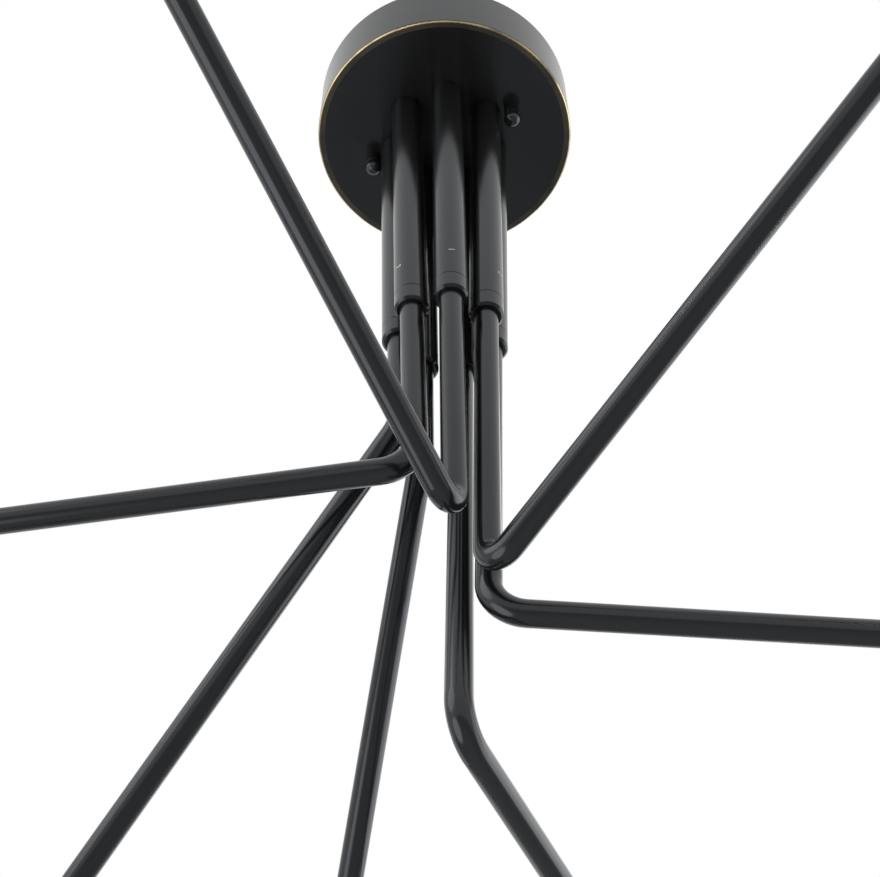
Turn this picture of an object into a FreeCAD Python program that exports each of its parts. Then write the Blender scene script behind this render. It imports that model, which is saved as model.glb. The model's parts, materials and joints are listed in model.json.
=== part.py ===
import FreeCAD, Part
import math
import os
import Sketcher

# Sputnik chandelier with seven swivelling arms, in millimetres.
# +Z is up. The origin is on the ceiling, in the middle of the canopy. X runs along the mounting bar.
# Every stem hangs from the canopy face and leans in a little, and a little to one side as well, so
# the seven form a narrow bundle with a slight twist.

# The driving sizes, grouped by piece: name, value, meaning.
CANOPY_SIZES = [
    ("canopy_radius", 76.2, "outside radius of the drum, a 6 inch canopy"),
    ("canopy_depth", 42, "ceiling to the outer face"),
    ("canopy_wall", 1.2, "drum wall"),
    ("canopy_face", 1.6, "face plate, and the pressed seats in it"),
    ("canopy_edge", 1.2, "round on the bottom edge"),
    ("seat_recess", 0.5, "how far each pressed seat lies above the face"),
    ("seat_margin", 0.6, "seat beyond the sleeve, all round"),
    ("seat_shoulder", 2.4, "raised ring round the seat on the inside"),
]
FIXING_SIZES = [
    ("bar_end", 7.55, "mounting bar beyond each stud"),
    ("bar_width", 22, "mounting bar"),
    ("bar_thickness", 2, "mounting bar"),
    ("bar_forward", 4, "bar centre line, in front of the canopy's centre"),
    ("stud_pattern", 88.9, "canopy studs, the 3 1/2 inch pattern"),
    ("stud_radius", 2.08, "no. 8 threaded stud"),
    ("stud_room", 0.4, "stud hole in the canopy, all round"),
    ("stud_grip", 10, "stud inside its ball nut"),
    ("stud_nut_flats", 8.7, "hex nut, across flats"),
    ("stud_nut_height", 3.2, "hex nut"),
    ("box_spacing", 69.85, "ceiling box screws, the 2 3/4 inch pattern"),
    ("box_hole_radius", 2.4, "ceiling box screw holes"),
    ("ball_radius", 4.9, "ball nut"),
    ("ball_neck_radius", 4.4, "ball nut"),
    ("ball_neck_length", 8, "ball nut"),
    ("ball_drop", 11.5, "canopy face to the ball's centre"),
    ("ball_room", 0.5, "least room between a ball nut and the ring of sleeves"),
    ("earth_radius", 2, "earth screw thread"),
    ("earth_head_radius", 3.8, "earth screw"),
    ("earth_head_height", 2.4, "earth screw"),
    ("earth_offset", 22.5, "earth screw, from the bar's middle"),
]
TERMINAL_SIZES = [
    ("block_length", 30, "terminal block"),
    ("block_width", 16, "terminal block"),
    ("block_height", 12, "terminal block"),
    ("pole_pitch", 9, "from one pole to the next"),
    ("pole_row", 4.5, "screw row, from the block's middle"),
    ("wire_hole_radius", 1.9, "wire way through each pole"),
    ("wire_hole_depth", 7.5, "wire way, below the bar"),
    ("clamp_screw_radius", 1.5, "terminal screw"),
    ("clamp_well_radius", 2.2, "well round each terminal screw"),
    ("clamp_well_depth", 3, "well round each terminal screw"),
    ("clamp_screw_proud", 1.5, "terminal screw above the floor of its well"),
    ("peg_radius", 1.6, "moulded pegs that hold the block to the bar"),
    ("peg_spacing", 24, "moulded pegs"),
]
STEM_SIZES = [
    ("ring_phase", 24, "first stem, in degrees from the front"),
    ("lean", 1.75, "lean of each stem towards the middle, in degrees"),
    ("twist", 0.35, "lean of each stem sideways, round the ring, in degrees"),
    ("stem_gap", 3.8, "clear gap between neighbouring arm tubes where they are closest"),
    ("swivel_land", 1.5, "between the arm tube and the sleeve's bore, all round"),
    ("sleeve_wall", 1.2, "sleeve tube"),
    ("sleeve_length", 196, "canopy face to the collar"),
    ("sleeve_plug", 4, "solid end under the nipple"),
    ("seam_chamfer", 0.3, "both edges of the joint between sleeve and collar"),
    ("collar_length", 11, "visible collar"),
    ("collar_lip", 1.2, "chamfer at the collar's mouth"),
    ("spigot_length", 8, "collar inside the sleeve"),
    ("swivel_clearance", 0.05, "arm tube in the collar, all round"),
    ("nipple_radius", 5, "threaded nipples, M10 by 1"),
    ("wire_bore", 3.25, "radius of the wire way through a nipple"),
    ("nipple_spare", 2, "nipple above its nut"),
    ("nipple_room", 0.3, "clearance hole round a nipple"),
    ("lock_washer_radius", 8, "lock washer under each nut"),
    ("lock_washer_height", 1, "lock washer under each nut"),
    ("lock_nut_flats", 14, "nut across flats"),
    ("lock_nut_height", 4, "nut on each sleeve's nipple"),
    ("friction_height", 0.8, "friction washer"),
    ("friction_room", 0.15, "friction washer, from the tube and from the sleeve"),
]
ARM_SIZES = [
    ("arm_outside", 12, "arm tube, outside diameter"),
    ("arm_wall", 1, "arm tube"),
    ("bend_up", 120, "turn of a rising arm, in degrees"),
    ("bend_level", 90, "turn of a level arm"),
    ("bend_down", 45, "turn of a falling arm"),
    ("round_up", 9, "radius of a rising arm's elbow, on its centre line"),
    ("round_level", 16, "radius of a level arm's elbow"),
    ("round_down", 16, "radius of a falling arm's elbow"),
    ("reach", 360, "corner of the elbow to the lamp cup"),
    ("flange_height", 2, "ring that hangs the arm in its sleeve"),
    ("flange_room", 0.1, "that ring in the sleeve's bore, all round"),
    ("tip_plug", 8, "solid end inside the tube"),
    ("tip_length", 9, "nipple that holds the lampholder"),
]
LAMP_SIZES = [
    ("cup_wall", 1.2, "lamp cup"),
    ("cup_room", 1.8, "lamp cup, round the lampholder"),
    ("cup_length", 52, "lamp cup"),
    ("cup_floor", 2, "lamp cup"),
    ("cup_foot", 13, "radius of the cup's flat foot"),
    ("cup_shoulder", 8, "height of the cup's conical foot"),
    ("holder_wall", 3.65, "lampholder, round its socket"),
    ("holder_foot", 11.5, "radius of its foot"),
    ("holder_taper", 8, "height of its conical foot"),
    ("holder_base", 11, "solid base, up to the socket's floor"),
    ("holder_length", 44, "lampholder"),
    ("thread_cover", 1.8, "solid over the end of the nipple"),
    ("socket_room", 0.25, "socket round the lamp's cap, all round"),
    ("contact_radius", 4, "centre contact"),
    ("contact_height", 2, "centre contact"),
    ("cap_radius", 13.1, "E26 lamp cap"),
    ("cap_wall", 0.6, "lamp cap"),
    ("cap_length", 29, "lamp cap"),
    ("cap_button", 4.8, "radius of the cap's end contact"),
    ("cap_button_height", 2.2, "end contact"),
    ("cap_taper", 6, "end contact to the full thread"),
    ("neck_inside", 8, "glass neck inside the cap"),
    ("neck_outside", 4, "glass neck above the cap"),
    ("globe_radius", 40, "glass globe"),
    ("glass_wall", 1, "glass globe"),
    ("globe_cone", 45, "tangent cone of the neck, in degrees"),
]
# Each arm, in order round the ring: tube below the collar down to the elbow's corner,
# turn of the arm from its stem's own outward direction in degrees, and its bend.
ARMS = [
    (156, -34.9, "up"),
    (179.5, -9.6, "up"),
    (184.5, -12.6, "level"),
    (239, -1.6, "level"),
    (71, -14.4, "down"),
    (66.5, -26.6, "down"),
    (118, -49.7, "level"),
]
NUMBERS = range(1, len(ARMS) + 1)
GROUPS = [CANOPY_SIZES, FIXING_SIZES, TERMINAL_SIZES, STEM_SIZES, ARM_SIZES, LAMP_SIZES]

doc = FreeCAD.newDocument("chandelier")
sizes = doc.addObject("Spreadsheet::Sheet", "sizes")


def fill_sheet():
    rows = [row for group in GROUPS for row in group]
    rows.append(("arm_count", len(ARMS), "arms round the ring"))
    for number, (below, turn, bend) in zip(NUMBERS, ARMS):
        rows.append((f"below_{number}", below, "collar to the corner of the elbow"))
        rows.append((f"turn_{number}", turn, "swivel at rest, in degrees"))
    for line, (name, number, meaning) in enumerate(rows, 1):
        sizes.set(f"A{line}", name)
        sizes.set(f"B{line}", str(number))
        sizes.set(f"C{line}", meaning)
        sizes.setAlias(f"B{line}", name)
    doc.recompute()


fill_sheet()

# Lengths that follow from the driving sizes.
ARM_RADIUS = "(sizes.arm_outside / 2)"
ARM_BORE = f"({ARM_RADIUS} - sizes.arm_wall)"
COLLAR_BORE = f"({ARM_RADIUS} + sizes.swivel_clearance)"
SLEEVE_BORE = f"({ARM_RADIUS} + sizes.swivel_land)"
SLEEVE_RADIUS = f"({SLEEVE_BORE} + sizes.sleeve_wall)"
SEAT_RADIUS = f"({SLEEVE_RADIUS} + sizes.seat_margin)"
STEM_LENGTH = "(sizes.sleeve_length + sizes.collar_length)"
# Tubes 3 and 4 run side by side the furthest, and are closest at the third elbow.
CLOSEST = f"({STEM_LENGTH} + sizes.below_3)"
CLOSEST_RADIUS = "((sizes.arm_outside + sizes.stem_gap) / (2 * sin(180 / sizes.arm_count)))"
RING_RADIUS = (
    f"(sqrt({CLOSEST_RADIUS}^2 - ({CLOSEST} * sin(sizes.twist))^2) + {CLOSEST} * sin(sizes.lean))"
)
# The studs keep their pattern, unless the sleeves need them further apart.
STUD_SPACING = (
    f"max(sizes.stud_pattern; 2 * ({RING_RADIUS} + {SLEEVE_RADIUS} + sizes.ball_radius + sizes.ball_room))"
)
BAR_LENGTH = f"({STUD_SPACING} + 2 * sizes.bar_end)"
# The lamp's cap sets the socket, the lampholder and the cup round it.
SOCKET_RADIUS = "(sizes.cap_radius + sizes.socket_room)"
HOLDER_RADIUS = f"({SOCKET_RADIUS} + sizes.holder_wall)"
CUP_INSIDE = f"({HOLDER_RADIUS} + sizes.cup_room)"
CUP_RADIUS = f"({CUP_INSIDE} + sizes.cup_wall)"
# Heights along a stem, from the canopy face, upwards.
WASHER_SEAT = "(sizes.seat_recess + sizes.canopy_face)"
NUT_SEAT = f"({WASHER_SEAT} + sizes.lock_washer_height)"
NIPPLE_TOP = f"({NUT_SEAT} + sizes.lock_nut_height + sizes.nipple_spare)"
SPIGOT_TOP = "(sizes.spigot_length - sizes.sleeve_length)"
FLANGE_SEAT = f"({SPIGOT_TOP} + sizes.friction_height)"
ARM_TOP = f"({FLANGE_SEAT} + sizes.flange_height)"
# Heights along an arm's end, from the end of its tube, outwards.
SOCKET_FLOOR = "(sizes.cup_floor + sizes.holder_base)"
CAP_SEAT = f"({SOCKET_FLOOR} + sizes.contact_height)"
CAP_TOP = f"({CAP_SEAT} + sizes.cap_length)"
STRAIGHT = "rotationz(0)"
# How far a cut runs past the faces it goes through, and how near an edge counts as on a plane.
OVERCUT = 1
NEAR = 0.01


def placed(x, y, z, turn=STRAIGHT):
    return f"placement(vector({x}; {y}; {z}); {turn})"


def stem_frame(number):
    """On the canopy face at the stem's axis, +Z up along the stem, -Y outwards."""
    around = f"rotationz(sizes.ring_phase + {number - 1} * 360 / sizes.arm_count)"
    ring = placed(0, 0, "-sizes.canopy_depth", around)
    inward = placed(0, f"-{RING_RADIUS}", 0, "rotationx(sizes.lean)")
    return f"{ring} * {inward} * {placed(0, 0, 0, 'rotationy(-sizes.twist)')}"


def arm_frame(number):
    """The stem's frame, turned so that the arm lies towards +X."""
    return f"{stem_frame(number)} * {placed(0, 0, 0, f'rotationz(sizes.turn_{number} - 90)')}"


def bend_of(number):
    return f"sizes.bend_{ARMS[number - 1][2]}"


def round_of(number):
    return f"sizes.round_{ARMS[number - 1][2]}"


def elbow_depth(number):
    return f"({STEM_LENGTH} + sizes.below_{number})"


def along_arm(number, distance):
    """A point on the straight part of the arm, +Z along it, in the arm's frame."""
    bend = bend_of(number)
    x = f"({distance}) * sin({bend})"
    z = f"-{elbow_depth(number)} - ({distance}) * cos({bend})"
    return placed(x, 0, z, f"rotationy(180 - {bend})")


def lamp_frame(number):
    """At the end of the arm tube, +Z outwards along it."""
    return f"{arm_frame(number)} * {along_arm(number, 'sizes.reach')}"


def number_of(owner, text):
    result = owner.evalExpression(text)
    return getattr(result, "Value", result)


def plane_of(body, role):
    return next(item for item in body.Origin.OriginFeatures if item.Role == role)


def new_body(label, placement=None):
    body = doc.addObject("PartDesign::Body", label)
    body.Label = label
    if placement:
        body.setExpression("Placement", placement)
    return body


def new_sketch(body, name, role):
    sketch = body.newObject("Sketcher::SketchObject", name)
    sketch.AttachmentSupport = [(plane_of(body, role), "")]
    sketch.MapMode = "FlatFace"
    return sketch


def bind(item, **formulas):
    for name, text in formulas.items():
        item.setExpression(name, text)


def fix_point(sketch, edge, end, x, y):
    """Ties one end of a sketch edge to the formulas for its two coordinates."""
    for kind, text, axis in (("DistanceX", x, -2), ("DistanceY", y, -1)):
        if text == "0":
            sketch.addConstraint(Sketcher.Constraint("PointOnObject", edge, end, axis))
            continue
        place = number_of(sketch, text)
        index = sketch.addConstraint(Sketcher.Constraint(kind, edge, end, place))
        sketch.setExpression(f"Constraints[{index}]", text)


def closed_outline(sketch, outline, domes=()):
    """A closed outline through (radius, height) formulas. Edges in domes are arcs about the axis."""
    points = [FreeCAD.Vector(number_of(sketch, r), number_of(sketch, z), 0) for r, z in outline]
    ends = []
    for index, start in enumerate(points):
        finish = points[(index + 1) % len(points)]
        if index not in domes:
            edge = sketch.addGeometry(Part.LineSegment(start, finish))
            ends.append((edge, 1, 2))
            continue
        middle = (finish.x**2 + finish.y**2 - start.x**2 - start.y**2) / (2 * (finish.y - start.y))
        radius = math.hypot(start.x, start.y - middle)
        angles = [math.atan2(point.y - middle, point.x) for point in (start, finish)]
        circle = Part.Circle(FreeCAD.Vector(0, middle, 0), FreeCAD.Vector(0, 0, 1), radius)
        edge = sketch.addGeometry(Part.ArcOfCircle(circle, min(angles), max(angles)))
        ends.append((edge, 1, 2) if angles[0] < angles[1] else (edge, 2, 1))
        sketch.addConstraint(Sketcher.Constraint("PointOnObject", edge, 3, -2))
    for index, (edge, first, last) in enumerate(ends):
        following, next_first, _ = ends[(index + 1) % len(ends)]
        sketch.addConstraint(Sketcher.Constraint("Coincident", edge, last, following, next_first))
        fix_point(sketch, edge, first, *outline[index])


def turned(label, placement, outline, domes=()):
    """A piece turned about its own Z axis."""
    body = new_body(label, placement)
    sketch = new_sketch(body, f"{label}_outline", "XZ_Plane")
    closed_outline(sketch, outline, domes)
    revolution = body.newObject("PartDesign::Revolution", f"{label}_turned")
    revolution.Profile = (sketch, [""])
    revolution.ReferenceAxis = (sketch, ["V_Axis"])
    revolution.Angle = 360
    body.Tip = revolution
    return body


def block(body, kind, name, placement, **formulas):
    """Adds or cuts one plain form: kind is such as AdditiveCylinder or SubtractiveBox."""
    form = body.newObject(f"PartDesign::{kind}", name)
    if kind.endswith("Prism"):
        form.Polygon = 6
    bind(form, Placement=placement, **formulas)
    body.Tip = form
    return form


def round_ring(body, features):
    """Repeats features at every stem."""
    pattern = body.newObject("PartDesign::PolarPattern", f"{body.Label}_ring")
    pattern.Originals = features
    pattern.Axis = (plane_of(body, "Z_Axis"), [""])
    pattern.Angle = 360
    bind(pattern, Occurrences="sizes.arm_count")
    body.Tip = pattern


# Canopy: a spun steel drum, open to the ceiling, with a pressed seat for each stem and two stud holes.
def make_canopy():
    inside = "(sizes.canopy_radius - sizes.canopy_wall)"
    floor = "(sizes.canopy_face - sizes.canopy_depth)"
    body = turned("canopy", None, [
        ("sizes.canopy_radius", "0"),
        ("sizes.canopy_radius", "-sizes.canopy_depth"),
        ("0", "-sizes.canopy_depth"),
        ("0", floor),
        (inside, floor),
        (inside, "0"),
    ])
    drum = body.Tip
    doc.recompute()
    depth = number_of(body, "sizes.canopy_depth")
    radius = number_of(body, "sizes.canopy_radius")
    rims = [
        f"Edge{index}"
        for index, edge in enumerate(drum.Shape.Edges, 1)
        if abs(edge.BoundBox.ZMin + depth) < NEAR
        and abs(edge.BoundBox.ZMax + depth) < NEAR
        and abs(edge.BoundBox.XMax - radius) < NEAR
    ]
    edge_round = body.newObject("PartDesign::Fillet", "canopy_edge_round")
    edge_round.Base = (drum, rims)
    bind(edge_round, Radius="sizes.canopy_edge")
    frame = stem_frame(1)
    boss = block(
        body, "AdditiveCylinder", "seat_boss", f"{frame} * {placed(0, 0, 'sizes.seat_recess')}",
        Radius=f"{SEAT_RADIUS} + sizes.seat_shoulder", Height="sizes.canopy_face",
    )
    seat = block(
        body, "SubtractiveCylinder", "seat_recess", f"{frame} * {placed(0, 0, '-2 * sizes.canopy_face')}",
        Radius=SEAT_RADIUS, Height="2 * sizes.canopy_face + sizes.seat_recess",
    )
    hole = block(
        body, "SubtractiveCylinder", "nipple_hole", f"{frame} * {placed(0, 0, '-sizes.canopy_face')}",
        Radius="sizes.nipple_radius + sizes.nipple_room", Height=f"sizes.canopy_face + {NUT_SEAT}",
    )
    round_ring(body, [boss, seat, hole])
    below_face = f"-sizes.canopy_depth - {OVERCUT}"
    for side in (-1, 1):
        block(
            body, "SubtractiveCylinder", "stud_hole",
            placed(f"{side} * {STUD_SPACING} / 2", "-sizes.bar_forward", below_face),
            Radius="sizes.stud_radius + sizes.stud_room", Height=f"sizes.canopy_face + 2 * {OVERCUT}",
        )


# Mounting bar: a flat strap against the ceiling box. Its screws belong to the box.
def make_crossbar():
    body = new_body("crossbar")
    block(
        body, "AdditiveBox", "strap",
        placed(f"-{BAR_LENGTH} / 2", "-sizes.bar_forward - sizes.bar_width / 2", "-sizes.bar_thickness"),
        Length=BAR_LENGTH, Width="sizes.bar_width", Height="sizes.bar_thickness",
    )
    holes = [("earth_hole", "sizes.earth_offset", "sizes.earth_radius")]
    for side in (-1, 1):
        holes.append(("stud_thread", f"{side} * {STUD_SPACING} / 2", "sizes.stud_radius"))
        holes.append(("box_hole", f"{side} * sizes.box_spacing / 2", "sizes.box_hole_radius"))
        holes.append(("peg_hole", f"{side} * sizes.peg_spacing / 2", "sizes.peg_radius"))
    for name, x, radius in holes:
        block(
            body, "SubtractiveCylinder", name,
            placed(x, "-sizes.bar_forward", f"-sizes.bar_thickness - {OVERCUT}"),
            Radius=radius, Height=f"sizes.bar_thickness + 2 * {OVERCUT}",
        )


# Two threaded studs hang from the bar. A hex nut locks each one, and a ball nut under the
# canopy pulls the drum up against the ceiling.
def make_studs():
    studs = new_body("crossbar_studs")
    locknuts = new_body("stud_locknuts")
    ball_nuts = new_body("ball_nuts")
    length = "(sizes.canopy_depth + sizes.stud_grip)"
    hex_low = "-sizes.bar_thickness - sizes.stud_nut_height"
    for side in (-1, 1):
        x = f"{side} * {STUD_SPACING} / 2"
        y = "-sizes.bar_forward"
        block(
            studs, "AdditiveCylinder", "stud", placed(x, y, f"-{length}"),
            Radius="sizes.stud_radius", Height=length,
        )
        block(
            locknuts, "AdditivePrism", "hex", placed(x, y, hex_low),
            Circumradius="sizes.stud_nut_flats / 2 / cos(30)", Height="sizes.stud_nut_height",
        )
        block(
            locknuts, "SubtractiveCylinder", "thread", placed(x, y, hex_low),
            Radius="sizes.stud_radius", Height="sizes.stud_nut_height",
        )
        block(
            ball_nuts, "AdditiveCylinder", "neck",
            placed(x, y, "-sizes.canopy_depth - sizes.ball_neck_length"),
            Radius="sizes.ball_neck_radius", Height="sizes.ball_neck_length",
        )
        block(
            ball_nuts, "AdditiveSphere", "ball", placed(x, y, "-sizes.canopy_depth - sizes.ball_drop"),
            Radius="sizes.ball_radius",
        )
        block(
            ball_nuts, "SubtractiveCylinder", "thread", placed(x, y, f"-{length}"),
            Radius="sizes.stud_radius", Height="sizes.stud_grip",
        )


# Terminal block and earth screw, under the bar: the supply and the arms' leads meet here.
def make_terminals():
    body = new_body("terminal_block")
    screws = new_body("terminal_screws")
    top = "-sizes.bar_thickness"
    bottom = "(-sizes.bar_thickness - sizes.block_height)"
    block(
        body, "AdditiveBox", "housing",
        placed("-sizes.block_length / 2", "-sizes.bar_forward - sizes.block_width / 2", bottom),
        Length="sizes.block_length", Width="sizes.block_width", Height="sizes.block_height",
    )
    for side in (-1, 1):
        block(
            body, "AdditiveCylinder", "peg",
            placed(f"{side} * sizes.peg_spacing / 2", "-sizes.bar_forward", top),
            Radius="sizes.peg_radius", Height="sizes.bar_thickness",
        )
    back = "sizes.block_width - sizes.bar_forward"
    for pole in (-1, 0, 1):
        x = f"{pole} * sizes.pole_pitch"
        block(
            body, "SubtractiveCylinder", "wire_way",
            placed(x, back, f"{top} - sizes.wire_hole_depth", "rotationx(90)"),
            Radius="sizes.wire_hole_radius", Height="2 * sizes.block_width",
        )
        for row in (-1, 1):
            y = f"{row} * sizes.pole_row - sizes.bar_forward"
            block(
                body, "SubtractiveCylinder", "well", placed(x, y, bottom),
                Radius="sizes.clamp_well_radius", Height="sizes.clamp_well_depth",
            )
            block(
                screws, "AdditiveCylinder", "clamp_screw",
                placed(x, y, f"{bottom} + sizes.clamp_well_depth - sizes.clamp_screw_proud"),
                Radius="sizes.clamp_screw_radius", Height="sizes.clamp_screw_proud",
            )
    earth = new_body("earth_screw")
    block(
        earth, "AdditiveCylinder", "earth_thread", placed("sizes.earth_offset", "-sizes.bar_forward", top),
        Radius="sizes.earth_radius", Height="sizes.bar_thickness",
    )
    block(
        earth, "AdditiveCylinder", "earth_head",
        placed("sizes.earth_offset", "-sizes.bar_forward", f"{top} - sizes.earth_head_height"),
        Radius="sizes.earth_head_radius", Height="sizes.earth_head_height",
    )


# Sleeve: a tube with a solid upper end and a threaded nipple that passes through the canopy's seat.
def make_sleeve(number):
    low = "-sizes.sleeve_length"
    plug = "(sizes.seat_recess - sizes.sleeve_plug)"
    turned(f"sleeve_{number}", stem_frame(number), [
        ("sizes.wire_bore", NIPPLE_TOP),
        ("sizes.wire_bore", plug),
        (SLEEVE_BORE, plug),
        (SLEEVE_BORE, low),
        (f"{SLEEVE_RADIUS} - sizes.seam_chamfer", low),
        (SLEEVE_RADIUS, f"{low} + sizes.seam_chamfer"),
        (SLEEVE_RADIUS, "sizes.seat_recess"),
        ("sizes.nipple_radius", "sizes.seat_recess"),
        ("sizes.nipple_radius", NIPPLE_TOP),
    ])


# Collar: closes the sleeve, guides the arm tube and carries the arm's weight on its spigot.
def make_collar(number):
    seam = "-sizes.sleeve_length"
    mouth = f"-{STEM_LENGTH}"
    turned(f"collar_{number}", stem_frame(number), [
        (COLLAR_BORE, mouth),
        (f"{SLEEVE_RADIUS} - sizes.collar_lip", mouth),
        (SLEEVE_RADIUS, f"{mouth} + sizes.collar_lip"),
        (SLEEVE_RADIUS, f"{seam} - sizes.seam_chamfer"),
        (f"{SLEEVE_RADIUS} - sizes.seam_chamfer", seam),
        (SLEEVE_BORE, seam),
        (SLEEVE_BORE, SPIGOT_TOP),
        (COLLAR_BORE, SPIGOT_TOP),
    ])


# One lock nut and one toothed washer hold each sleeve's nipple inside the canopy. A friction
# washer on each collar's spigot holds the arm where it is turned to.
def make_stem_fasteners():
    frame = stem_frame(1)
    nuts = new_body("sleeve_locknuts")
    hexagon = block(
        nuts, "AdditivePrism", "hex_form", f"{frame} * {placed(0, 0, NUT_SEAT)}",
        Circumradius="sizes.lock_nut_flats / 2 / cos(30)", Height="sizes.lock_nut_height",
    )
    thread = block(
        nuts, "SubtractiveCylinder", "nut_thread", f"{frame} * {placed(0, 0, NUT_SEAT)}",
        Radius="sizes.nipple_radius", Height="sizes.lock_nut_height",
    )
    round_ring(nuts, [hexagon, thread])
    washers = new_body("sleeve_lockwashers")
    disc = block(
        washers, "AdditiveCylinder", "washer_disc", f"{frame} * {placed(0, 0, WASHER_SEAT)}",
        Radius="sizes.lock_washer_radius", Height="sizes.lock_washer_height",
    )
    hole = block(
        washers, "SubtractiveCylinder", "washer_hole", f"{frame} * {placed(0, 0, WASHER_SEAT)}",
        Radius="sizes.nipple_radius + sizes.nipple_room / 2", Height="sizes.lock_washer_height",
    )
    round_ring(washers, [disc, hole])
    friction = new_body("friction_washers")
    disc = block(
        friction, "AdditiveCylinder", "friction_disc", f"{frame} * {placed(0, 0, SPIGOT_TOP)}",
        Radius=f"{SLEEVE_BORE} - sizes.friction_room", Height="sizes.friction_height",
    )
    hole = block(
        friction, "SubtractiveCylinder", "friction_hole", f"{frame} * {placed(0, 0, SPIGOT_TOP)}",
        Radius=f"{ARM_RADIUS} + sizes.friction_room", Height="sizes.friction_height",
    )
    round_ring(friction, [disc, hole])


# Arm: one steel tube with a single elbow. A ring at its upper end hangs it in the sleeve, and a
# nipple at its far end takes the lamp cup and the lampholder.
def make_arm(number):
    body = new_body(f"arm_{number}", arm_frame(number))
    bend = math.radians(number_of(body, bend_of(number)))
    radius = number_of(body, round_of(number))
    depth = number_of(body, elbow_depth(number))
    reach = number_of(body, "sizes.reach")
    top = number_of(body, ARM_TOP)
    tangent = radius * math.tan(bend / 2)

    path = new_sketch(body, f"arm_{number}_path", "XZ_Plane")
    upper = FreeCAD.Vector(0, top, 0)
    start = FreeCAD.Vector(0, tangent - depth, 0)
    centre = FreeCAD.Vector(radius, tangent - depth, 0)
    outward = FreeCAD.Vector(math.sin(bend), -math.cos(bend), 0)
    finish = FreeCAD.Vector(0, -depth, 0) + outward * tangent
    stem = path.addGeometry(Part.LineSegment(upper, start))
    circle = Part.Circle(centre, FreeCAD.Vector(0, 0, 1), radius)
    elbow = path.addGeometry(Part.ArcOfCircle(circle, math.pi, math.pi + bend))
    straight = path.addGeometry(Part.LineSegment(finish, FreeCAD.Vector(0, -depth, 0) + outward * reach))
    path.addConstraint(Sketcher.Constraint("Tangent", stem, 2, elbow, 1))
    path.addConstraint(Sketcher.Constraint("Tangent", elbow, 2, straight, 1))
    path.addConstraint(Sketcher.Constraint("Vertical", stem))
    fix_point(path, stem, 1, "0", ARM_TOP)
    fix_point(
        path, straight, 2, f"sizes.reach * sin({bend_of(number)})",
        f"-{elbow_depth(number)} - sizes.reach * cos({bend_of(number)})",
    )
    start_height = f"{round_of(number)} * tan({bend_of(number)} / 2) - {elbow_depth(number)}"
    for kind, ends, amount, text in (
        ("DistanceY", (stem, 2), start.y, start_height),
        ("Radius", (elbow,), radius, round_of(number)),
    ):
        index = path.addConstraint(Sketcher.Constraint(kind, *ends, amount))
        path.setExpression(f"Constraints[{index}]", text)

    section = new_sketch(body, f"arm_{number}_section", "XY_Plane")
    section.setExpression("AttachmentOffset.Base.z", ARM_TOP)
    for text in (ARM_RADIUS, ARM_BORE):
        ring = Part.Circle(FreeCAD.Vector(0, 0, 0), FreeCAD.Vector(0, 0, 1), number_of(section, text))
        edge = section.addGeometry(ring)
        section.addConstraint(Sketcher.Constraint("Coincident", edge, 3, -1, 1))
        index = section.addConstraint(Sketcher.Constraint("Radius", edge, number_of(section, text)))
        section.setExpression(f"Constraints[{index}]", text)
    tube = body.newObject("PartDesign::AdditivePipe", f"arm_{number}_tube")
    tube.Profile = (section, [""])
    tube.Spine = (path, ["Edge1", "Edge2", "Edge3"])
    body.Tip = tube

    block(
        body, "AdditiveCylinder", "flange", placed(0, 0, FLANGE_SEAT),
        Radius=f"{SLEEVE_BORE} - sizes.flange_room", Height="sizes.flange_height",
    )
    block(
        body, "SubtractiveCylinder", "flange_bore", placed(0, 0, FLANGE_SEAT),
        Radius=ARM_BORE, Height="sizes.flange_height",
    )
    block(
        body, "AdditiveCylinder", "tip_plug", along_arm(number, "sizes.reach - sizes.tip_plug"),
        Radius=f"{ARM_RADIUS} - sizes.arm_wall / 2", Height="sizes.tip_plug",
    )
    block(
        body, "AdditiveCylinder", "tip_nipple", along_arm(number, "sizes.reach - sizes.arm_wall"),
        Radius="sizes.nipple_radius", Height="sizes.arm_wall + sizes.tip_length",
    )
    block(
        body, "SubtractiveCylinder", "tip_bore",
        along_arm(number, f"sizes.reach - sizes.tip_plug - {OVERCUT}"),
        Radius="sizes.wire_bore", Height=f"sizes.tip_plug + sizes.tip_length + 2 * {OVERCUT}",
    )


# Lamp cup: a turned steel shell with a conical foot, clamped between the arm and the lampholder.
def make_cup(number):
    hole = "(sizes.nipple_radius + sizes.nipple_room)"
    turned(f"cup_{number}", lamp_frame(number), [
        (hole, "0"),
        ("sizes.cup_foot", "0"),
        (CUP_RADIUS, "sizes.cup_shoulder"),
        (CUP_RADIUS, "sizes.cup_length"),
        (CUP_INSIDE, "sizes.cup_length"),
        (CUP_INSIDE, "sizes.cup_shoulder"),
        ("sizes.cup_foot - sizes.cup_wall / 2", "sizes.cup_floor"),
        (hole, "sizes.cup_floor"),
    ])


# Lampholder: a moulded E26 socket, screwed on to the arm's nipple.
def make_lampholder(number):
    rim = "(sizes.cup_floor + sizes.holder_length)"
    thread_end = f"({SOCKET_FLOOR} - sizes.thread_cover)"
    turned(f"lampholder_{number}", lamp_frame(number), [
        ("sizes.nipple_radius", "sizes.cup_floor"),
        ("sizes.holder_foot", "sizes.cup_floor"),
        (HOLDER_RADIUS, "sizes.cup_floor + sizes.holder_taper"),
        (HOLDER_RADIUS, rim),
        (SOCKET_RADIUS, rim),
        (SOCKET_RADIUS, SOCKET_FLOOR),
        ("sizes.contact_radius", SOCKET_FLOOR),
        ("sizes.contact_radius", CAP_SEAT),
        ("0", CAP_SEAT),
        ("0", thread_end),
        ("sizes.nipple_radius", thread_end),
    ])


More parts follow.
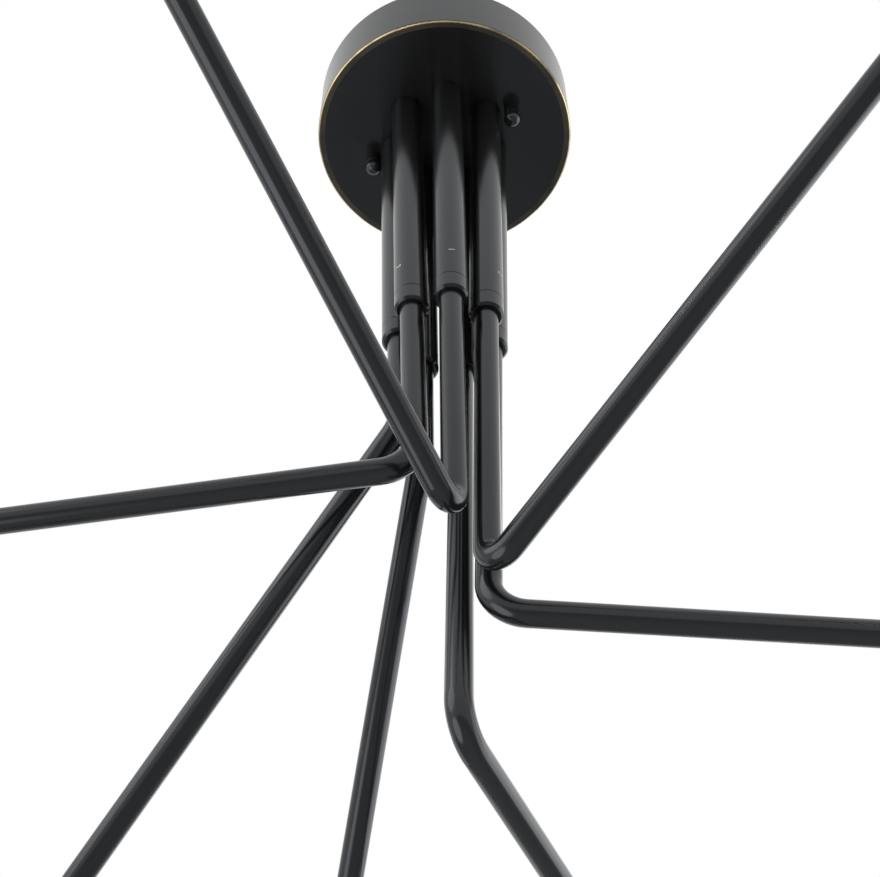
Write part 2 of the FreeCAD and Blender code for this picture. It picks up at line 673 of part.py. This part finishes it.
# Lamp: a rolled metal cap and a blown glass globe with a conical neck.
def make_lamp(number):
    wall = "sizes.cap_wall"
    button = f"({CAP_SEAT} + sizes.cap_button_height)"
    thread = f"({CAP_SEAT} + sizes.cap_taper)"
    neck = f"(sizes.cap_radius - {wall})"
    turned(f"lamp_cap_{number}", lamp_frame(number), [
        ("0", CAP_SEAT),
        ("sizes.cap_button", CAP_SEAT),
        ("sizes.cap_button", button),
        ("sizes.cap_radius", thread),
        ("sizes.cap_radius", CAP_TOP),
        (neck, CAP_TOP),
        (neck, f"{thread} + {wall}"),
        (f"sizes.cap_button - {wall}", f"{button} + {wall}"),
        ("0", f"{button} + {wall}"),
    ])
    low = f"({CAP_TOP} - sizes.neck_inside)"
    high = f"({CAP_TOP} + sizes.neck_outside)"
    tangent = "(sizes.globe_radius * cos(sizes.globe_cone))"
    tangent_height = f"({high} + ({tangent} - {neck}) / tan(sizes.globe_cone))"
    middle = f"({tangent_height} + sizes.globe_radius * sin(sizes.globe_cone))"
    inner = "(sizes.globe_radius - sizes.glass_wall)"
    inner_neck = f"({neck} - sizes.glass_wall)"
    inner_tangent = f"({inner} * cos(sizes.globe_cone))"
    inner_height = f"({middle} - {inner} * sin(sizes.globe_cone))"
    inner_high = f"({inner_height} - ({inner_tangent} - {inner_neck}) / tan(sizes.globe_cone))"
    turned(f"lamp_glass_{number}", lamp_frame(number), [
        (neck, low),
        (neck, high),
        (tangent, tangent_height),
        ("0", f"{middle} + sizes.globe_radius"),
        ("0", f"{middle} + {inner}"),
        (inner_tangent, inner_height),
        (inner_neck, inner_high),
        (inner_neck, low),
    ], domes=(2, 4))


make_canopy()
make_crossbar()
make_studs()
make_terminals()
make_stem_fasteners()
for arm in NUMBERS:
    make_sleeve(arm)
    make_collar(arm)
    make_arm(arm)
    make_cup(arm)
    make_lampholder(arm)
    make_lamp(arm)
doc.recompute()

for item in doc.Objects:
    if "Invalid" in item.State or "Error" in item.State:
        raise RuntimeError(f"{item.Label} didn't build: {item.State}")

os.makedirs("parts", exist_ok=True)
for body in doc.findObjects("PartDesign::Body"):
    shape = body.Shape
    if shape.isNull() or not shape.isValid() or not shape.Solids:
        raise RuntimeError(f"{body.Label} has no valid solid")
    shape.exportStep(f"parts/{body.Label}.step")
    print(f"{body.Label}: {len(shape.Solids)} solids, {shape.Volume:.1f} mm3")
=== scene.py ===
import json
import math

import bmesh
import bpy
from mathutils import Matrix, Vector


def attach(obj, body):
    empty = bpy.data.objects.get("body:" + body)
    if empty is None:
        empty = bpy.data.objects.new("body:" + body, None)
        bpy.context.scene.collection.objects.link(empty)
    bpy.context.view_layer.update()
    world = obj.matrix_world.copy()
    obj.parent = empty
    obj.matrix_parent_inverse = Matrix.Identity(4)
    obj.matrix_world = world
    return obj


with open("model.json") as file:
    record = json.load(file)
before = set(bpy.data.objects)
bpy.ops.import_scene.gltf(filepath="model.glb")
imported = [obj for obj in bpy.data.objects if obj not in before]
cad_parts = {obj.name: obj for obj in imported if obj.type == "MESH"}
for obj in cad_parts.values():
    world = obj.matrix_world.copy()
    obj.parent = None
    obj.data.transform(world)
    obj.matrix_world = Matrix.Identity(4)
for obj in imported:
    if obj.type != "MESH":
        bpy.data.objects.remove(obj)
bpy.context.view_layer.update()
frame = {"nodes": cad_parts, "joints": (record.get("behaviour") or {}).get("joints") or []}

MM = 0.001
ARM_NUMBERS = range(1, 8)


# The canopy is a spun steel drum, sprayed inside and out with a dark bronze lacquer. Its bottom
# edge is rubbed through to a thin line of brass plating. The lacquer is smooth and nearly black,
# so what the eye sees on it is mostly the reflection of the white room.
CANOPY_RADIUS = 76.2 * MM
CANOPY_DEPTH = 42 * MM
LACQUER = "#151617"
LACQUER_WARM = "#191919"
LACQUER_GLOSS = "#f0f6ff"
PLATING = "#d2bf94"
PEEL_SIZE = 1.4 * MM
TONE_SIZE = 30 * MM
EDGE_SOFTNESS = 0.45 * MM
RUBBED_LOW = 0.1 * MM
RUBBED_HIGH = 0.52 * MM
RUBBED_FADE = 0.12 * MM
EDGE_BAND = 4 * MM
WEAR_SIZE = 22 * MM
CANOPY_INDEX = 1.42


def linear(code):
    """An sRGB hex colour as linear red, green, blue and alpha."""
    parts = [int(code[place:place + 2], 16) / 255 for place in (1, 3, 5)]
    return (*[c / 12.92 if c <= 0.04045 else ((c + 0.055) / 1.055) ** 2.4 for c in parts], 1)


def new_material(name):
    material = bpy.data.materials.new(name)
    material.use_nodes = True
    material.node_tree.nodes.clear()
    return material, material.node_tree


def add(tree, kind, settings=None, links=None):
    """Adds one node. A setting is an input's value or a property, and a link is another node's output."""
    node = tree.nodes.new(f"ShaderNode{kind}")
    for name, value in (settings or {}).items():
        if isinstance(name, int) or name in node.inputs:
            node.inputs[name].default_value = value
        else:
            setattr(node, name, value)
    for name, output in (links or {}).items():
        tree.links.new(output, node.inputs[name])
    return node


def finish_nodes(material, *names):
    for name in names:
        mesh = frame["nodes"][name].data
        mesh.materials.clear()
        mesh.materials.append(material)


def blended_colour(tree, factor, low, high):
    mix = add(tree, "Mix", {"data_type": "RGBA"}, {"Factor": factor})
    mix.inputs[6].default_value = linear(low)
    mix.inputs[7].default_value = linear(high)
    return mix.outputs[2]


def lacquer(name, softness=None):
    """The sprayed lacquer, and its colour, roughness and shader for a finish laid over it."""
    material, tree = new_material(name)
    place = add(tree, "TexCoord").outputs["Object"]
    tone = add(tree, "TexNoise", {"Scale": 1 / TONE_SIZE, "Detail": 3}, {"Vector": place})
    peel = add(tree, "TexNoise", {"Scale": 1 / PEEL_SIZE, "Detail": 2}, {"Vector": place})
    colour = blended_colour(tree, tone.outputs["Fac"], LACQUER, LACQUER_WARM)
    rough = add(tree, "MapRange", {"To Min": 0.16, "To Max": 0.22}, {"Value": tone.outputs["Fac"]})
    relief = {"Height": peel.outputs["Fac"]}
    if softness:
        relief["Normal"] = add(tree, "Bevel", {"samples": 8, "Radius": softness}).outputs["Normal"]
    bump = add(tree, "Bump", {"Strength": 0.02, "Distance": 0.01 * MM}, relief)
    shader = add(tree, "BsdfPrincipled", {"IOR": 1.5, "Specular Tint": linear(LACQUER_GLOSS)}, {
        "Base Color": colour, "Roughness": rough.outputs["Result"], "Normal": bump.outputs["Normal"],
    })
    add(tree, "OutputMaterial", {}, {"Surface": shader.outputs["BSDF"]})
    return material, tree, place, colour, rough.outputs["Result"], shader


def canopy_finish():
    """The rubbed line is a band of height on the edge's round, and it is fainter where it is worn less."""
    material, tree, place, colour, rough, shader = lacquer("dark_bronze_lacquer_rubbed_edge")
    split = add(tree, "SeparateXYZ", {}, {"Vector": place})
    flat = add(tree, "CombineXYZ", {}, {"X": split.outputs["X"], "Y": split.outputs["Y"]})
    radius = add(tree, "VectorMath", {"operation": "LENGTH"}, {0: flat.outputs["Vector"]})
    outer = add(tree, "Math", {"operation": "GREATER_THAN", 1: CANOPY_RADIUS - EDGE_BAND}, {
        0: radius.outputs["Value"],
    })
    height = add(tree, "Math", {"operation": "ADD", 1: CANOPY_DEPTH}, {0: split.outputs["Z"]})
    wear = add(tree, "TexNoise", {"Scale": 1 / WEAR_SIZE, "Detail": 3}, {"Vector": place})
    low = add(tree, "MapRange", {
        "interpolation_type": "SMOOTHSTEP", "From Min": RUBBED_LOW - RUBBED_FADE, "From Max": RUBBED_LOW,
    }, {"Value": height.outputs["Value"]})
    high = add(tree, "MapRange", {
        "interpolation_type": "SMOOTHSTEP", "From Min": RUBBED_HIGH + RUBBED_FADE, "From Max": RUBBED_HIGH,
    }, {"Value": height.outputs["Value"]})
    thin = add(tree, "MapRange", {"From Min": 0.35, "From Max": 0.55, "To Min": 0.35}, {
        "Value": wear.outputs["Fac"],
    })
    bare = outer.outputs["Value"]
    for part in (low.outputs["Result"], high.outputs["Result"], thin.outputs["Result"]):
        bare = add(tree, "Math", {"operation": "MULTIPLY"}, {0: bare, 1: part}).outputs["Value"]
    edge_colour = add(tree, "Mix", {"data_type": "RGBA"}, {0: bare, 6: colour})
    edge_colour.inputs[7].default_value = linear(PLATING)
    edge_rough = add(tree, "Mix", {3: 0.32}, {0: bare, 2: rough})
    shader.inputs["IOR"].default_value = CANOPY_INDEX
    tree.links.new(edge_colour.outputs[2], shader.inputs["Base Color"])
    tree.links.new(edge_rough.outputs[0], shader.inputs["Roughness"])
    tree.links.new(bare, shader.inputs["Metallic"])
    return material


finish_nodes(canopy_finish(), "canopy")


# The bar, the studs, their lock nuts and the clamp screws are zinc-plated steel. Zinc is pale and
# bluish, with soft clouds in its gloss. Threads are a fine pattern of ridges along the height.
ZINC = "#b4b9bf"
ZINC_DARK = "#9aa0a8"
STUD_PITCH = 0.8 * MM
NIPPLE_PITCH = 1 * MM
# A band texture repeats every 2 pi / 20 of a unit at scale 1.
BAND_LENGTH = math.pi / 10


def metal(name, light, dark, rough, pitch=None):
    material, tree = new_material(name)
    place = add(tree, "TexCoord").outputs["Object"]
    cloud = add(tree, "TexNoise", {"Scale": 1 / (5 * MM), "Detail": 5}, {"Vector": place})
    gloss = add(tree, "MapRange", {"To Min": rough - 0.06, "To Max": rough + 0.08}, {
        "Value": cloud.outputs["Fac"],
    })
    soft = add(tree, "Bevel", {"samples": 6, "Radius": 0.25 * MM})
    normal = soft.outputs["Normal"]
    if pitch:
        ridge = add(tree, "TexWave", {"bands_direction": "Z", "Scale": BAND_LENGTH / pitch}, {
            "Vector": place,
        })
        bump = add(tree, "Bump", {"Distance": pitch / 2}, {
            "Height": ridge.outputs["Fac"], "Normal": normal,
        })
        normal = bump.outputs["Normal"]
    shader = add(tree, "BsdfPrincipled", {"Metallic": 1}, {
        "Base Color": blended_colour(tree, cloud.outputs["Fac"], light, dark),
        "Roughness": gloss.outputs["Result"], "Normal": normal,
    })
    add(tree, "OutputMaterial", {}, {"Surface": shader.outputs["BSDF"]})
    return material


zinc = metal("zinc_plated_steel", ZINC, ZINC_DARK, 0.3)
finish_nodes(zinc, "crossbar", "stud_locknuts", "terminal_screws", "sleeve_locknuts", "sleeve_lockwashers")
finish_nodes(metal("zinc_plated_stud_thread", ZINC, ZINC_DARK, 0.3, STUD_PITCH), "crossbar_studs")
nipple_thread = metal("zinc_plated_nipple_thread", ZINC, ZINC_DARK, 0.3, NIPPLE_PITCH)


# The earth screw is bare brass. The terminal block is moulded in off-white nylon, and the friction
# washers in natural nylon, which is a little warmer.
BRASS = "#caa15c"
BRASS_DARK = "#b08a48"
BLOCK = "#deded8"
NYLON = "#e0dac8"


def moulded(name, code, rough, grain):
    material, tree = new_material(name)
    place = add(tree, "TexCoord").outputs["Object"]
    skin = add(tree, "TexNoise", {"Scale": 1 / grain, "Detail": 3}, {"Vector": place})
    gloss = add(tree, "MapRange", {"To Min": rough - 0.05, "To Max": rough + 0.05}, {
        "Value": skin.outputs["Fac"],
    })
    soft = add(tree, "Bevel", {"samples": 6, "Radius": 0.3 * MM})
    bump = add(tree, "Bump", {"Strength": 0.3, "Distance": 0.02 * MM}, {
        "Height": skin.outputs["Fac"], "Normal": soft.outputs["Normal"],
    })
    shader = add(tree, "BsdfPrincipled", {"Base Color": linear(code)}, {
        "Roughness": gloss.outputs["Result"], "Normal": bump.outputs["Normal"],
    })
    add(tree, "OutputMaterial", {}, {"Surface": shader.outputs["BSDF"]})
    return material


finish_nodes(metal("bare_brass", BRASS, BRASS_DARK, 0.28), "earth_screw")
finish_nodes(moulded("off_white_nylon", BLOCK, 0.4, 0.5 * MM), "terminal_block")
finish_nodes(moulded("natural_nylon", NYLON, 0.5, 0.5 * MM), "friction_washers")


# The ball nuts, sleeves, collars, arm tubes and cups wear the canopy's lacquer, with no rubbed
# edge. Each sleeve's threaded nipple, inside the canopy, stays bare zinc. An arm tube's mesh has
# flats about 0.9 mm wide, so its shading is softened over a little more than that.
NIPPLE_START = 0.7 * MM
TUBE_SOFTNESS = 1.1 * MM

lacquer_plain = lacquer("dark_bronze_lacquer", EDGE_SOFTNESS)[0]
finish_nodes(lacquer_plain, "ball_nuts")
lacquer_tube = lacquer("dark_bronze_lacquer_on_tube", TUBE_SOFTNESS)[0]
for number in ARM_NUMBERS:
    finish_nodes(lacquer_tube, f"arm_{number}")
    finish_nodes(lacquer_plain, *[f"{kind}_{number}" for kind in ("sleeve", "collar", "cup")])


def stem_matrix(number):
    """On the canopy face at the stem's axis, +Z up along the stem, -Y outwards."""
    joint = next(item for item in frame["joints"] if item["name"] == f"swivel_{number}")
    place = Vector(joint["pos_m"])
    up = Vector(joint["axis"]).normalized()
    outward = Vector((place.x, place.y, 0))
    across = (-outward).cross(up).normalized()
    return Matrix.Translation(place) @ Matrix((across, up.cross(across), up)).transposed().to_4x4()


for number in ARM_NUMBERS:
    mesh = frame["nodes"][f"sleeve_{number}"].data
    mesh.materials.append(nipple_thread)
    inverse = stem_matrix(number).inverted()
    for face in mesh.polygons:
        face.material_index = int((inverse @ face.center).z > NIPPLE_START)


# Each sleeve carries its arm's number, 1 to 7, in thin white print. It stands above the seam, turned
# a quarter turn, on the side that faces away from the bundle. Each is a flat letter bent round the tube.
SLEEVE_RADIUS = 8.7 * MM
PRINT_HEIGHT = 4.7 * MM
PRINT_DROP = 176.5 * MM
PRINT_LIFT = 0.03 * MM
PRINT_SLICE = 0.4 * MM
PRINT = "#e9e9e6"


def new_piece(name, mesh, material, body):
    mesh.materials.clear()
    mesh.materials.append(material)
    piece = bpy.data.objects.new(name, mesh)
    bpy.context.scene.collection.objects.link(piece)
    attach(piece, body)
    return piece


def print_number(number, material):
    curve = bpy.data.curves.new(f"number_{number}", "FONT")
    curve.body = str(number)
    curve.size = PRINT_HEIGHT
    curve.align_x = "CENTER"
    curve.align_y = "CENTER"
    writer = bpy.data.objects.new(f"number_curve_{number}", curve)
    bpy.context.scene.collection.objects.link(writer)
    mesh = bpy.data.meshes.new_from_object(writer)
    bpy.data.objects.remove(writer)
    mesh.name = f"number_{number}"
    form = bmesh.new()
    form.from_mesh(mesh)
    slices = int(PRINT_HEIGHT / PRINT_SLICE)
    for step in range(-slices, slices + 1):
        bmesh.ops.bisect_plane(
            form, geom=form.verts[:] + form.edges[:] + form.faces[:],
            plane_co=(0, step * PRINT_SLICE, 0), plane_no=(0, 1, 0),
        )
    radius = SLEEVE_RADIUS + PRINT_LIFT
    for point in form.verts:
        turn = point.co.y / radius
        point.co = (radius * math.sin(turn), -radius * math.cos(turn), -point.co.x - PRINT_DROP)
    bmesh.ops.recalc_face_normals(form, faces=form.faces[:])
    bmesh.ops.transform(form, matrix=stem_matrix(number), verts=form.verts[:])
    form.to_mesh(mesh)
    form.free()
    return new_piece(f"number_{number}", mesh, material, "ceiling_frame")


print_material = moulded("white_print", PRINT, 0.55, 0.3 * MM)
for number in ARM_NUMBERS:
    print_number(number, print_material)


# Each lampholder is moulded in black phenolic. The lamp's cap is nickel-plated brass with a rolled
# thread, and its bulb is a clear glass globe.
PHENOLIC = "#161616"
NICKEL = "#cfcac0"
NICKEL_DARK = "#b9b3a6"
GLASS_INDEX = 1.52


def clear_glass(name):
    material, tree = new_material(name)
    shader = add(tree, "BsdfPrincipled", {
        "Base Color": linear("#fdfefe"), "Roughness": 0.0, "IOR": GLASS_INDEX, "Transmission Weight": 1,
    })
    add(tree, "OutputMaterial", {}, {"Surface": shader.outputs["BSDF"]})
    return material


phenolic = moulded("black_phenolic", PHENOLIC, 0.3, 0.8 * MM)
nickel = metal("nickel_plated_brass", NICKEL, NICKEL_DARK, 0.22)
glass = clear_glass("clear_glass")
for number in ARM_NUMBERS:
    finish_nodes(phenolic, f"lampholder_{number}")
    finish_nodes(nickel, f"lamp_cap_{number}")
    finish_nodes(glass, f"lamp_glass_{number}")


# Inside each globe, a glass mount rises from the neck and carries four filament sticks on nickel
# wires: straight glass sticks in a yellow phosphor coat, spread a little at the foot.
# Heights are from the end of the arm's tube.
MOUNT_PROFILE = [
    (0, 40.5), (10.5, 40.5), (10.9, 41.5), (8, 43.5), (4.6, 48), (3.4, 54), (3, 62), (2.8, 68),
    (1.6, 71), (1.1, 73), (0.9, 80), (0.9, 111), (0.6, 112), (0, 112.3),
]
MOUNT_SIDES = 32
STICK_COUNT = 4
STICK_RADIUS = 0.9 * MM
STICK_FOOT = (9, 76)
STICK_HEAD = (5, 106)
WIRE_RADIUS = 0.3 * MM
WIRE_FOOT = (2.4, 67)
WIRE_HEAD = (0.9, 110)
ROD_SIDES = 16
PHOSPHOR = "#e9b347"


def lamp_matrix(number):
    """At the end of the arm's tube, +Z outwards along it: both ends come from pieces turned about it."""
    centres = {}
    for kind in ("cup", "lamp_glass"):
        vertices = frame["nodes"][f"{kind}_{number}"].data.vertices
        points = {tuple(round(c, 6) for c in v.co) for v in vertices}
        centres[kind] = sum((Vector(point) for point in points), Vector()) / len(points)
    axis = (centres["lamp_glass"] - centres["cup"]).normalized()
    cup = frame["nodes"][f"cup_{number}"].data.vertices
    foot = min((v.co - centres["cup"]).dot(axis) for v in cup)
    turn = axis.to_track_quat("Z", "Y").to_matrix().to_4x4()
    return Matrix.Translation(centres["cup"] + axis * foot) @ turn


def spun(profile, sides):
    """A closed solid, turned about Z from (radius, height) points in millimetres."""
    form = bmesh.new()
    points = [form.verts.new((radius * MM, 0, height * MM)) for radius, height in profile]
    edges = [form.edges.new(pair) for pair in zip(points, points[1:])]
    bmesh.ops.spin(
        form, geom=points + edges, cent=(0, 0, 0), axis=(0, 0, 1), steps=sides,
        angle=2 * math.pi, use_merge=True,
    )
    bmesh.ops.remove_doubles(form, verts=form.verts[:], dist=0.001 * MM)
    bmesh.ops.recalc_face_normals(form, faces=form.faces[:])
    return form


def add_rod(form, start, end, radius):
    along = end - start
    turn = along.to_track_quat("Z", "Y").to_matrix().to_4x4()
    bmesh.ops.create_cone(
        form, cap_ends=True, segments=ROD_SIDES, radius1=radius, radius2=radius, depth=along.length,
        matrix=Matrix.Translation((start + end) / 2) @ turn,
    )


def round_points(places, step):
    """The points (radius, height), in millimetres, on one of the sticks' headings."""
    turn = 2 * math.pi * (step + 0.5) / STICK_COUNT
    return [Vector((r * math.cos(turn), r * math.sin(turn), z)) * MM for r, z in places]


def lamp_piece(name, number, form, material):
    bmesh.ops.transform(form, matrix=lamp_matrix(number), verts=form.verts[:])
    for face in form.faces:
        face.smooth = len(face.verts) == 4
    mesh = bpy.data.meshes.new(f"{name}_{number}")
    form.to_mesh(mesh)
    form.free()
    new_piece(f"{name}_{number}", mesh, material, f"arm_body_{number}")


phosphor = moulded("yellow_phosphor", PHOSPHOR, 0.55, 0.4 * MM)
for number in ARM_NUMBERS:
    sticks = bmesh.new()
    wires = bmesh.new()
    for step in range(STICK_COUNT):
        places = (WIRE_FOOT, STICK_FOOT, STICK_HEAD, WIRE_HEAD)
        wire_foot, foot, head, wire_head = round_points(places, step)
        add_rod(sticks, foot, head, STICK_RADIUS)
        add_rod(wires, wire_foot, foot, WIRE_RADIUS)
        add_rod(wires, head, wire_head, WIRE_RADIUS)
    lamp_piece("lamp_mount", number, spun(MOUNT_PROFILE, MOUNT_SIDES), glass)
    lamp_piece("lamp_wires", number, wires, nickel)
    lamp_piece("lamp_sticks", number, sticks, phosphor)


# The floor is a plain light disc, far enough down to keep views from below open. The room is white
# to the camera and in reflections, and dimmer as light. Four soft disc lamps stand round the light.
FLOOR_DROP = 3.3
ROOM_LIGHT = 0.5
CAMERA_PLACE = Vector((0.1605, -0.4225, -0.887))
CAMERA_HEADING = math.radians(21.2)
CAMERA_TILT = math.radians(51)
CAMERA_ROLL = math.radians(-0.13)
FOCAL_PIXELS = 1557
IMAGE_WIDTH = 880
SENSOR = 36

floor_material, tree = new_material("pale_floor")
floor_shader = add(tree, "BsdfPrincipled", {"Base Color": linear("#e6e6e4"), "Roughness": 0.9})
add(tree, "OutputMaterial", {}, {"Surface": floor_shader.outputs["BSDF"]})
form = bmesh.new()
bmesh.ops.create_circle(form, cap_ends=True, segments=64, radius=9)
bmesh.ops.translate(form, verts=form.verts, vec=(0, 0, -FLOOR_DROP))
mesh = bpy.data.meshes.new("floor")
form.to_mesh(mesh)
form.free()
mesh.materials.append(floor_material)
floor = bpy.data.objects.new("floor", mesh)
bpy.context.scene.collection.objects.link(floor)

world = bpy.data.worlds.new("white_room")
world.use_nodes = True
tree = world.node_tree
tree.nodes.clear()
path = add(tree, "LightPath")
seen = add(tree, "Math", {"operation": "MAXIMUM"}, {
    0: path.outputs["Is Camera Ray"], 1: path.outputs["Is Glossy Ray"],
})
shown = add(tree, "Math", {"operation": "MAXIMUM"}, {
    0: seen.outputs[0], 1: path.outputs["Is Transmission Ray"],
})
strength = add(tree, "MapRange", {"To Min": ROOM_LIGHT, "To Max": 1.0}, {"Value": shown.outputs[0]})
glow = add(tree, "Background", {"Color": (1, 1, 1, 1)}, {"Strength": strength.outputs["Result"]})
add(tree, "OutputWorld", {}, {"Surface": glow.outputs["Background"]})
bpy.context.scene.world = world

for name, place, size, power in (
    ("key_lamp", (-1.6, -1.8, 0.6), 2.4, 22),
    ("fill_lamp", (2.0, 1.1, -0.2), 2.4, 24),
    ("back_lamp", (0.4, 2.1, 0.7), 2.4, 10),
    ("low_lamp", (-1.6, -1.2, -1.9), 2.2, 26),
):
    light = bpy.data.lights.new(name, "AREA")
    light.shape = "DISK"
    light.size = size
    light.energy = power
    lamp = bpy.data.objects.new(name, light)
    lamp.location = place
    aim = Vector((0, 0, -0.35)) - Vector(place)
    lamp.rotation_euler = aim.to_track_quat("-Z", "Y").to_euler()
    bpy.context.scene.collection.objects.link(lamp)

camera_data = bpy.data.cameras.new("camera")
camera_data.sensor_width = SENSOR
camera_data.lens = FOCAL_PIXELS / IMAGE_WIDTH * SENSOR
camera = bpy.data.objects.new("camera", camera_data)
turn = Matrix.Rotation(CAMERA_HEADING, 4, "Z") @ Matrix.Rotation(math.pi / 2 + CAMERA_TILT, 4, "X")
camera.matrix_world = Matrix.Translation(CAMERA_PLACE) @ turn @ Matrix.Rotation(CAMERA_ROLL, 4, "Z")
bpy.context.scene.collection.objects.link(camera)
bpy.context.scene.camera = camera
bpy.context.scene.view_settings.view_transform = "Standard"
